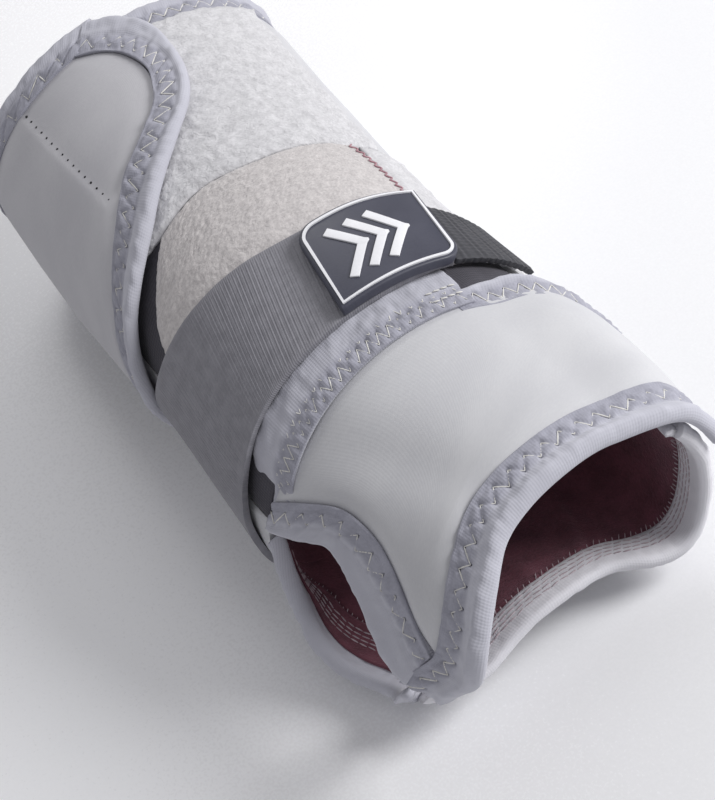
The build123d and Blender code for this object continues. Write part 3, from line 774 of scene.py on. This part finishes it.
class Tape:
    """A folded tape between its sewn edge and its fold; s runs along it and c across, in mm."""

    def __init__(self, inner, fold, low, high, pitch=4.6, rows=(1.9, 4.7), lip=0.9, sink=0.8,
                 raised=0.4, seed=1):
        self.inner, self.fold, self.low, self.high = inner, fold, low, high
        self.pitch, self.rows, self.lip = pitch, rows, lip
        self.sink, self.raised, self.seed = sink, raised, seed
        self.length, self.share = route(inner, fold, 3.5)

    def width(self, t):
        a, b = through(self.inner, t), through(self.fold, t)
        return np.linalg.norm(on_limb(a, 3.0) - on_limb(b, 3.0), axis=-1) / MM

    def base(self, value, t):
        if callable(value):
            return value(through(self.inner, t)[..., 1])
        return np.full(np.shape(t), float(value))

    def relief(self, s, c, width):
        """What the top face adds: stitches, the puffed lip along the fold and small wrinkles."""
        near, far = self.rows
        thread, hole = zigzag(s, c, self.pitch, near, far)
        lip = self.lip * np.exp(-(((c - width + 1.9) / 1.6) ** 2))
        groove = 0.45 * np.exp(-(((c - far - 0.8) / 0.7) ** 2))
        groove = groove + 0.3 * np.exp(-(((c - near + 0.9) / 0.6) ** 2))
        pucker = 0.16 * bumps(s, c, 1.3, self.seed) + 0.28 * bumps(s, c, 2.7, self.seed + 7)
        return lip - groove - self.sink * (0.55 * thread + 0.8 * hole) + pucker

    def point(self, s, c, extra=0.0, under=False):
        """A point on the tape's top face, or under it, extra mm out from the surface."""
        s, c = np.asarray(s, float), np.asarray(c, float)
        t = self.share(s)
        width = self.width(t)
        place = mix(through(self.inner, t), through(self.fold, t), (c / width)[..., None])
        if under:
            return on_limb(place, self.base(self.low, t) - extra)
        top = self.base(self.high, t) + self.raised + self.relief(s, c, width)
        return on_limb(place, top + extra)

    def mesh(self, name, step=0.45, count=38):
        def shape(u, v):
            s = u * self.length
            t = self.share(s)
            width, low, high = self.width(t), self.base(self.low, t), self.base(self.high, t) + self.raised
            radius = (high - low) / 2
            flat_part = np.interp(v, [0, 0.02, 0.06, 0.5, 0.7, 0.97, 1], [0, 0, 0, 1, 1, 0, 0])
            turn = np.interp(v, [0.5, 0.7], [0, math.pi])
            tuck = np.interp(v, [0, 0.02, 0.05, 0.08], [0, -0.3, -0.15, 0])
            c = flat_part * (width - radius) + radius * np.sin(turn) + tuck
            edge_top = np.interp(v, [0, 0.02, 0.045, 0.07], [1.0, 0.35, 0.06, 0])
            lift = np.where(v < 0.7, (high + low) / 2 + radius * np.cos(turn) - edge_top * 0.9, low)
            lift = np.where(v > 0.97, mix(low, high - 0.9, (v - 0.97) / 0.03), lift)
            on_top = smooth((v - 0.03) / 0.04) * smooth((0.66 - v) / 0.16)
            bottom = smooth((v - 0.66) / 0.06) * smooth((0.97 - v) / 0.04)
            lift = lift + self.relief(s, c, width) * on_top - 0.12 * bumps(s, c, 1.6, self.seed + 3) * bottom
            place = mix(through(self.inner, t), through(self.fold, t), (c / width)[..., None])
            across = v * (2 * width + 3)
            return on_limb(place, lift), np.stack([s, across], -1)

        return sheet_mesh(name, self.length / step, count, shape, tube=True)

    def zigzag_ends(self, start=0.0, end=None):
        """The two ends of each thread of the zigzag, sunk into the needle holes."""
        near, far = self.rows
        count = int(((end or self.length) - start) / self.pitch) * 2
        s = start - start % self.pitch + np.arange(count + 1) * self.pitch / 2
        c = np.where(np.arange(count + 1) % 2 == 0, near, far)
        points = self.point(np.clip(s, 0, self.length), c, 0.8 * self.sink - 0.02)
        return list(zip(points[:-1], points[1:]))

    def hole_shade_ends(self):
        """Where the needle went in: a short dark ball at each turn of the zigzag, painted shade in the hole.
        """
        near, far = self.rows
        count = int(self.length / self.pitch) * 2
        s = np.arange(1, count) * self.pitch / 2
        c = np.where(np.arange(1, count) % 2 == 0, near, far)
        return list(zip(self.point(s, c, -0.3), self.point(s, c, 0.22)))


# %% [markdown]
# ## Thread
# A seam is hundreds of small stitches. One low ball, stretched from needle hole to needle hole,
# stands for each of them: it dives into the cloth at both ends as real thread does.


# %% The stitch helper
def stitch_mesh(name, ends, radius):
    """One mesh of stitches, each from a start point to an end point."""
    ball = bmesh.new()
    bmesh.ops.create_uvsphere(ball, u_segments=6, v_segments=5, radius=1)
    template = bpy.data.meshes.new("stitch")
    ball.to_mesh(template)
    ball.free()
    shape = np.array([(*v.co, 1) for v in template.vertices])
    joined = bmesh.new()
    for start, end in ends:
        start, end = Vector(start), Vector(end)
        direction = end - start
        turn = direction.to_track_quat("Z", "Y").to_matrix().to_4x4()
        size = Matrix.Diagonal((radius * MM, radius * MM, direction.length * 0.55, 1))
        move = np.array(Matrix.Translation((start + end) / 2) @ turn @ size)
        template.vertices.foreach_set("co", (shape @ move.T)[:, :3].astype(np.float32).ravel())
        joined.from_mesh(template)
    mesh = bpy.data.meshes.new(name)
    joined.to_mesh(mesh)
    joined.free()
    mesh.polygons.foreach_set("use_smooth", [True] * len(mesh.polygons))
    return mesh


def add_stitches(name, ends, material=THREAD, body="brace", radius=0.17):
    print(name, len(ends), "stitches")
    add_piece(name, stitch_mesh(name, ends, radius), material, body=body)


def add_tape(name, tape, material, nodes=None, body="brace", radius=0.21):
    """Adds a tape with its zigzag and painted shade in its needle holes; it replaces the node of its name, or
    nodes.
    """
    add_piece(name, tape.mesh(name), material, [name] if nodes is None else nodes, body)
    add_stitches(name + "_stitching", tape.zigzag_ends(), THREAD, body, radius)
    # Dark balls at the needle holes are painted shade.
    add_stitches(name + "_needle_hole_shade", tape.hole_shade_ends(), NEEDLE_HOLE_SHADE, body, 0.3)


# %% Tapes of the hand opening
distal_tape = Tape(DORSAL_INNER, DORSAL_EDGE, closure_rise(-0.3, 4.5),
                   closure_rise(3.5, 7.0), seed=11)
add_tape("distal_dorsal_binding", distal_tape, TAPE,
         ["distal_dorsal_binding", "closure_binding"], CLOSURE_BEND)
volar_tape = Tape(VOLAR_INNER, VOLAR_EDGE, -0.3, 2.7, rows=(1.6, 4.6), lip=0.5, sink=0.5, seed=12)
add_tape("distal_volar_binding", volar_tape, PALE_TAPE)
closure_tape = Tape(CLOSURE_PROXIMAL_INNER, CLOSURE_PROXIMAL, closure_rise(1.0, 4.9),
                    closure_rise(3.5, 7.0), pitch=3.6, rows=(1.6, 4.4), sink=0.5, raised=0.7, seed=13)
add_tape("closure_binding", closure_tape, TAPE, body=CLOSURE_BEND, radius=0.17)

# %% Tapes of the thumb hole
thumb_top_tape = Tape(THUMB_TOP_INNER, THUMB_TOP, -0.3, 3.6, pitch=5.0, rows=(2.6, 6.0), seed=14)
add_tape("thumb_dorsal_binding", thumb_top_tape, TAPE)
thumb_low_tape = Tape(THUMB_BOTTOM_INNER, THUMB_BOTTOM, -0.3, 3.0, rows=(1.6, 5.4), lip=0.7, seed=15)
add_tape("thumb_volar_binding", thumb_low_tape, TAPE)

# %% [markdown]
# ## Inner seams
# Inside, the tapes are caught by rows of fine coverstitch and by short overlock teeth that run
# out on to the lining.

# %% Coverstitch inside the openings
FACING_SHARE = 0.66  # of the tape's width
facing_edge = list(mix(np.array(THUMB_BOTTOM_INNER), np.array(THUMB_BOTTOM), FACING_SHARE))
facing_place = pattern(THUMB_BOTTOM_INNER, facing_edge)
add_layer(layer("thumb_facing", facing_place, -0.85, -0.35, 0.8, brushed, 0.0), LINING, [])
INNER_ROWS = ((volar_tape, (1.3, 2.4, 3.5, 4.6), 0.06), (thumb_low_tape, (2.4, 3.7, 5.0, 6.3), 0.62))
inner_seams, overlock = [], []
for tape, rows, out in INNER_ROWS:
    for number, c in enumerate(rows):
        row = np.arange(0.5 + number * 0.7, tape.length - 2.2, 2.3)
        wander = 0.22 * bumps(row, row * 0 + number, 3.0, 8)
        starts = tape.point(row, c + wander, out, under=True)
        inner_seams += list(zip(starts, tape.point(row + 2.0, c - wander, out, under=True)))
    teeth = np.arange(0.5, tape.length - 0.5, 1.5)
    wander = 0.45 * bumps(teeth, teeth * 0, 1.1, 9)
    starts = tape.point(teeth + wander, -0.5 + wander, 0.65, under=True)
    overlock += list(zip(starts, tape.point(teeth + 0.5, np.full(len(teeth), 0.5), 0.1, under=True)))
add_stitches("inner_coverstitch", inner_seams, SEAM_THREAD, radius=0.17)
add_stitches("inner_overlock", overlock, SEAM_THREAD, radius=0.13)

# %% The palm side's free edge, seen inside under the closure
free_edge_tape = Tape([(92, 67), (80, 66), (62, 66), (48, 66)],
                      [(93.5, 56), (80, 57), (62, 58), (48, 59)],
                      -0.1, 1.4, lip=0.4, sink=0.3, raised=0.2, seed=20)
add_tape("palm_free_edge_binding", free_edge_tape, PALE_TAPE, [], radius=0.17)

# %% Wrist seam band and proximal binding
BAND_ANGLES = (-77, -62, -47, -26, -5, 13, 30)
band_sewn = [(44.5 + 0.0016 * (angle - 10) ** 2, angle) for angle in BAND_ANGLES]
band_tucked = [(39.5, -77), (37.4, -62), (35, -47), (32.6, -26), (31.8, -5), (31.5, 13), (31.2, 30)]


def band_rise(top):
    """The band's lift, which goes down under the thumb tape."""
    return lambda angle: top - 1.9 * smooth((-54 - angle) / 14)


band_tape = Tape(band_sewn, band_tucked, band_rise(3.6), band_rise(4.6),
                 pitch=2.8, rows=(1.0, 4.3), lip=0.0, sink=0.6, raised=0.3, seed=16)
add_tape("wrist_seam_band", band_tape, TAPE, radius=0.17)
band_tape.rows = (4.7, 8.0)
add_stitches("wrist_seam_second_row", band_tape.zigzag_ends(), THREAD, radius=0.17)
bartack = []
for x in (38.5, 41.5):
    for angle in np.arange(18, 29, 2.8):
        bartack.append((spot(x, angle, 5.1), spot(x + 0.3, angle + 2.2, 5.1)))
add_stitches("bartack_stitching", bartack, THREAD, radius=0.2)
proximal_tape = Tape(ring(-89.5, -80, 276, 13), ring(-98.5, -80, 276, 13), -0.3, 3.4, seed=17)
add_tape("proximal_binding", proximal_tape, TAPE)

# %% [markdown]
# ## Pile panels
# The flap sticks to a panel of brushed loops, matted and pale. The strap runs over a second
# panel with a short warm velour. Both are modelled as thick cloth with real relief, because the
# nap shows at the edges as well as from above.


# %% Loop and velour panels
def matted(x, angle, a, b, edge):
    clumps = 0.22 * bumps(a + 1.5 * bumps(a, b, 4, 21), b, 1.6, 22) + 0.14 * bumps(a, b, 0.8, 23)
    return clumps + 0.2 * bumps(a, b, 5, 24) - 0.7 * np.exp(-((edge / 1.0) ** 2))


def pebbled(x, angle, a, b, edge):
    pebbles = 0.1 * bumps(a, b, 0.75, 25) + 0.08 * bumps(a, b, 1.5, 26) + 0.1 * bumps(a, b, 6, 27)
    return pebbles - 0.5 * np.exp(-((edge / 0.9) ** 2))


LOOP_DISTAL = [(-26, -70), (-25, -50), (-24.4, -33), (-27, -12), (-25.2, 8), (-23.8, 30), (-20.8, 47),
               (-20.8, 62)]
add_layer(layer("loop_panel", pattern(ring(-89, -70, 62), LOOP_DISTAL), 3.6, 5.0, 0.5, matted, 0.0),
          PILE)
VELOUR_ULNAR = [(-20.4, 47), (-14, 50), (-5, 51), (12, 51), (30.5, 50)]
velour_place = pattern(shifted(LOOP_DISTAL[2:-1], 0.4),
                       [(31.5, -70), (31.5, -40), (31.5, -10), (31, 20), (30.5, 50)],
                       [(-24, -33), (-16, -46.5), (-5, -62), (12, -68), (31.5, -70)], VELOUR_ULNAR)
add_layer(layer("velour_panel", velour_place, 3.6, 4.9, 0.45, pebbled, 0.0),
          VELOUR)
add_layer(layer("ulnar_loop_panel", strip(-20.6, 30.8, 51, 80), 3.6, 4.9, 0.6, matted, 0.0),
          PILE)
add_layer(layer("closure_loop_patch", strip(62, 81, 68, 90), 3.1, 3.8, 0.6, None, 0.0),
          PILE)

# %% Pink zigzag on the velour's little finger side
def edge_zigzag(edge, lift, inset, reach, pitch):
    """A zigzag that follows an edge; inset and reach are in degrees."""
    length, share = route(edge, edge, lift)
    number = np.arange(int(length / pitch * 2))
    place = through(edge, share(number * pitch / 2))
    place[:, 1] -= inset + reach * (number % 2)
    points = on_limb(place, lift)
    return list(zip(points[:-1], points[1:]))


velour_zigzag = edge_zigzag(VELOUR_ULNAR, 5.05, inset=0.8, reach=2.6, pitch=2.2)
add_stitches("velour_edge_stitching", velour_zigzag, PINK_THREAD, radius=0.24)

# %% [markdown]
# ## Side flap
# A tongue of padded fabric comes round from the thumb side and sticks to the loop panel. Its
# free edge is taped, and a straight seam of needle holes, with painted shade in them, runs along its back.

# %% The flap and its tapes
FLAP_EDGE = [(-98.5, -6), (-93, 5), (-84, 12), (-74, 13), (-63, 11.5), (-53, 6), (-44, -5), (-34, -20),
             (-25, -34), (-18.5, -49), (-13.5, -64), (-8.5, -77), (-4.5, -86), (-3.5, -96), (-3.5, -108),
             (-3.5, -120)]
FLAP_INNER = [(-89.5, -16), (-84, -6.5), (-78, -1.5), (-70, 0.8), (-63, -1), (-56, -5.5), (-49.5, -15.5),
              (-43, -28), (-36, -38.5), (-29.5, -49.5), (-23.5, -60), (-18, -72), (-13, -84), (-11.8, -96),
              (-11.5, -108), (-11.5, -120)]


ROOT_END, ROOT_SPAN = -112, 30  # degrees


def root_rise(low, high):
    """A lift that is low where the piece is sewn on and high past the fold at the thumb side."""
    return lambda angle: mix(low, high, smooth((angle - ROOT_END) / ROOT_SPAN))


SEAM_PITCH, SEAM_START, SEAM_END = 3.0, -89, -40


def seam_angle(x):
    return -43 + 0.134 * (x + 88)


def flap_relief(x, angle, a, b, edge):
    seam = (angle - seam_angle(x)) * MM_PER_DEGREE
    along = smooth((SEAM_END - x) / 3)
    line = 0.5 * np.exp(-((seam / 0.8) ** 2)) * along
    step = 0.5 * smooth(seam / 1.6) * along
    return 0.3 * smooth(edge / 7) + 0.15 * bumps(a, b, 18, 31) - line - step


flap_seam = shifted(FLAP_INNER[:13], 0.0, -0.5)
flap_place = pattern([(-89.5, -131), (-70, -131), (-40, -131), (-11, -131)], flap_seam,
                     ring(-89.5, -131, flap_seam[0][1], 6),
                     [(-11, -131), (-11, -118), (-11, -102), flap_seam[-1]])
add_layer(layer("side_flap", flap_place, 3.8, root_rise(5.6, 8.0), 0.9, flap_relief, 0.4, 8.0),
          FLAP_CLOTH, ["side_flap", "side_flap_root"], FLAP_BEND, padded=0.4)
seam_x = np.arange(SEAM_START + SEAM_PITCH / 2, SEAM_END, SEAM_PITCH)
seam_places = np.stack([seam_x, seam_angle(seam_x)], -1)
# Dark balls in the seam's needle holes: painted shade.
seam_hole_shade = list(zip(on_limb(seam_places, 7.2), on_limb(seam_places, 8.05)))
add_stitches("flap_seam_hole_shade", seam_hole_shade, NEEDLE_HOLE_SHADE, FLAP_BEND, 0.45)
flap_tape = Tape(FLAP_INNER, FLAP_EDGE, root_rise(3.4, 5.5), root_rise(5.8, 8.1),
                 rows=(1.4, 4.8), lip=0.5, seed=18)
add_tape("side_flap_binding", flap_tape, TAPE, body=FLAP_BEND)
flap_end_tape = Tape(ring(-89.5, -128, -14, 9), ring(-98.5, -128, -3.5, 9), root_rise(3.4, 5.5),
                     root_rise(5.8, 8.1), pitch=6.0, rows=(1.0, 5.6), lip=0.4, seed=19)
add_tape("side_flap_end_binding", flap_end_tape, TAPE, ["side_flap_binding"], FLAP_BEND)

# %% [markdown]
# ## Wrist strap
# A ribbed elastic, sewn under the thumb side and drawn over the wrist. Each rib is an elastic
# cord wrapped in yarn, so the ribs run across the strap and both selvages are plain.

# %% The strap
RIB_PITCH = 1.15


def ribbed(x, angle, a, b, edge):
    plain = smooth((np.minimum(b, strap_width - b) - 1.2) / 0.6)
    rib = 0.5 + 0.5 * np.cos(2 * math.pi * a / RIB_PITCH)
    return -0.11 * rib * plain + 0.05 * bumps(a, b, 8, 41) - 0.1 * np.exp(-((edge / 0.5) ** 2))


STRAP_LOW_SIDE = [(-2.5, -145), (-2.5, -91.7), (-0.5, -66), (0.5, -40), (2, -20), (4.5, 0), (5, 22), (5, 42)]
STRAP_HIGH_SIDE = [(42.5, -145), (42.5, -91.7), (40.5, -70), (37, -50), (35, -32), (34, -10), (33.5, 12),
                   (33, 34.4)]
strap_place = pattern(STRAP_LOW_SIDE, STRAP_HIGH_SIDE)
strap_width = lengths(strap_place, 6.0)[1]
add_layer(layer("elastic_strap", strap_place, 5.3, root_rise(5.3, 6.9), (0.25, 0.7), ribbed, 0.4, 6.0),
          ELASTIC, ["elastic_strap", "strap_root"], STRAP_BEND)
print("strap width in mm", round(strap_width, 1))

# %% The hook tab
tab_place = pattern([(9, 43), (12.5, 58), (16, 71)], [(32.5, 36), (34, 54), (35.5, 70)])


def tab_ribs(x, angle, a, b, edge):
    return 0.12 * np.cos(2 * math.pi * a / 1.6) - 0.3 * np.exp(-((edge / 0.7) ** 2))


add_layer(layer("hook_tab", tab_place, 5.3, 6.7, 0.4, tab_ribs, 0.3), WEBBING,
          body="wrist_strap")

# %% [markdown]
# ## Rubber tag
# A moulded tag is welded on the strap: a thick slab with a raised white border and a plain
# chevron motif in its recessed field. We cut it flat, round two of its corners, and then wrap it.

# %% The tag helpers
TAG_LOW_SIDE = [(6.5, -0.5), (6, 21), (7.5, 43.5)]
TAG_HIGH_SIDE = [(34, -6), (34, 15), (35, 35.5)]
tag_place = pattern(TAG_LOW_SIDE, TAG_HIGH_SIDE)
TAG_LONG, TAG_WIDE = lengths(tag_place, 8.5)


def wrap_tag(mesh, base_lift):
    """Moves a flat mesh, in mm with x along the tag and y across it, on to the strap."""
    flat = vertex_places(mesh)
    places = tag_place(flat[:, 0] / TAG_LONG, flat[:, 1] / TAG_WIDE)
    shape_mesh(mesh, on_limb(places, base_lift + flat[:, 2]), flat[:, :2])


def cut_often(bm, length, step=1.5):
    """Cuts a flat shape across every few mm, so that it can bend."""
    for k in range(1, int(length / step) + 1):
        geometry = bm.verts[:] + bm.edges[:] + bm.faces[:]
        bmesh.ops.bisect_plane(bm, geom=geometry, plane_co=(k * step, 0, 0), plane_no=(1, 0, 0))


def rounded_plate(inset, radius, thickness):
    """A flat plate inside the tag's outline, whose corners are numbered round from the origin."""
    bm = bmesh.new()
    low, long, wide = inset, TAG_LONG - inset, TAG_WIDE - inset
    verts = [bm.verts.new((x, y, 0)) for x, y in ((low, low), (long, low), (long, wide), (low, wide))]
    bm.faces.new(verts)
    for corner in ROUND_CORNERS:
        bmesh.ops.bevel(bm, geom=[verts[corner]], offset=radius, segments=8, profile=0.5,
                        affect="VERTICES", material=-1)
    bmesh.ops.solidify(bm, geom=bm.faces[:], thickness=-thickness)
    bmesh.ops.recalc_face_normals(bm, faces=bm.faces)
    return bm


def soften(bm, offset):
    """Rounds the sharp edges of a plate."""
    sharp = [e for e in bm.edges if len(e.link_faces) == 2 and e.calc_face_angle(0) > 0.9]
    bmesh.ops.bevel(bm, geom=sharp, offset=offset, segments=3, profile=0.5, affect="EDGES", material=-1)


def bm_to_piece(name, bm, lift, material, nodes):
    mesh = bpy.data.meshes.new(name)
    cut_often(bm, TAG_LONG)
    bmesh.ops.triangulate(bm, faces=[f for f in bm.faces if len(f.verts) > 4])
    bm.to_mesh(mesh)
    bm.free()
    wrap_tag(mesh, lift)
    mesh.polygons.foreach_set("use_smooth", [True] * len(mesh.polygons))
    mesh.set_sharp_from_angle(angle=math.radians(35))
    add_piece(name, mesh, material, nodes, "wrist_strap")


# %% The tag, its border and its motif
ROUND_CORNERS, CORNER_RADIUS, TAG_THICK, TAG_LIFT, MOTIF_LIFT = (0, 2), 5.0, 2.6, 7.0, 9.45
tag = rounded_plate(0.0, CORNER_RADIUS, TAG_THICK)
soften(tag, 0.5)
bm_to_piece("rubber_tag", tag, TAG_LIFT, RUBBER, ["rubber_tag"])
print("tag in mm", round(TAG_LONG, 1), "x", round(TAG_WIDE, 1))


def outline_band(inset, width, height):
    """A raised line that follows the tag's outline."""
    bm = rounded_plate(inset, CORNER_RADIUS - inset, height)
    top = max(bm.faces, key=lambda f: f.calc_center_median().z)
    bottom = min(bm.faces, key=lambda f: f.calc_center_median().z)
    bmesh.ops.inset_region(bm, faces=[top, bottom], thickness=width)
    flat = [f for f in bm.faces if abs(f.normal.z) > 0.9 and len(f.verts) > 4]
    inner = sorted(flat, key=lambda f: -f.calc_area())[:2]
    bmesh.ops.bridge_loops(bm, edges=[e for f in inner for e in f.edges])
    bmesh.ops.delete(bm, geom=inner, context="FACES_ONLY")
    bmesh.ops.recalc_face_normals(bm, faces=bm.faces)
    return bm


border = outline_band(1.0, 0.75, 0.55)
bm_to_piece("tag_border", border, MOTIF_LIFT, WHITE_RUBBER, ["tag_motif"])


def bar(bm, start, end, width, height):
    """A raised bar between two flat points."""
    a, b = Vector((*start, 0)), Vector((*end, 0))
    middle, length = (a + b) / 2, (b - a).length
    turn = Matrix.Rotation(math.atan2(b.y - a.y, b.x - a.x), 4, "Z")
    size = Matrix.Diagonal((length + width, width, height, 1))
    move = Matrix.Translation(middle + Vector((0, 0, height / 2)))
    bmesh.ops.create_cube(bm, size=1, matrix=move @ turn @ size)


motif = bmesh.new()
for start in (0.22, 0.38, 0.54):
    tip, back_end = (start + 0.17) * TAG_LONG, start * TAG_LONG
    for side in (0.24, 0.76):
        bar(motif, (back_end, TAG_WIDE * side), (tip, TAG_WIDE * 0.5), 2.3, 0.5)
soften(motif, 0.15)
bm_to_piece("tag_chevrons", motif, MOTIF_LIFT, WHITE_RUBBER, ["tag_motif"])

# %% [markdown]
# ## Underneath
# The splint slides out of a sewn pocket along the palm side. The pocket is a flat sleeve, and
# the splint keeps its own solid, as its shape is already right.

# %% Pocket, webbing and hook pads
pocket_low, pocket_high = (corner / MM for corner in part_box("splint_pocket"))


POCKET_WALL, POCKET_FLAT = 0.6, (150, 60)  # mm: its cloth, and its length and the way round it


def sleeve_mesh():
    """A flat sleeve, open at its forearm end and pressed shut at the other."""
    half_wide, half_high = (pocket_high.y - pocket_low.y) / 2, (pocket_high.z - pocket_low.z) / 2

    def shape(u, v):
        turn = 2 * math.pi * v
        cut = np.stack([u * POCKET_FLAT[0], v * POCKET_FLAT[1]], -1)
        side = np.sign(np.cos(turn)) * np.abs(np.cos(turn)) ** 0.35
        rise = np.sign(np.sin(turn)) * np.abs(np.sin(turn)) ** 0.55
        closed = smooth((u - 0.985) / 0.015)
        y = side * (half_wide - 0.1 * bumps(cut[:, 0], cut[:, 1], 5, 51))
        z = half_high + rise * half_high * (1 - 0.55 * closed) + 0.02
        x = mix(pocket_low.x, pocket_high.x, u)
        return np.stack([x, y, z], -1) * MM, cut

    mesh = sheet_mesh("splint_pocket", 90, 64, shape)
    close_tube(mesh, caps=False)
    return mesh


pocket_mesh = sleeve_mesh()
pocket = add_piece("splint_pocket", pocket_mesh, DARK_CLOTH, ["splint_pocket"])
wall = pocket.modifiers.new("wall", "SOLIDIFY")
wall.thickness, wall.offset = POCKET_WALL * MM, -1.0
declare_sheet(pocket, pocket_mesh)
add_layer(layer("underside_webbing", strip(-78, -12, -124, -98), 5.8, 7.0, 0.5, tab_ribs, 0.3),
          WEBBING)
for node, material in (("dorsal_stays", STAY_PLASTIC), ("strap_hook_pad", HOOK), ("flap_hook_pad", HOOK),
                       ("closure_hook_pad", HOOK), ("volar_splint", METAL)):
    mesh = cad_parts[node].data
    mesh.materials.clear()
    mesh.materials.append(material)

# %% [markdown]
# ## Finish
# The last cell prints how many pieces were made and how many triangles they have.

# %% Piece count
print("pieces", len(made), "triangles", sum(len(p.data.polygons) * 2 for p in made.values()))
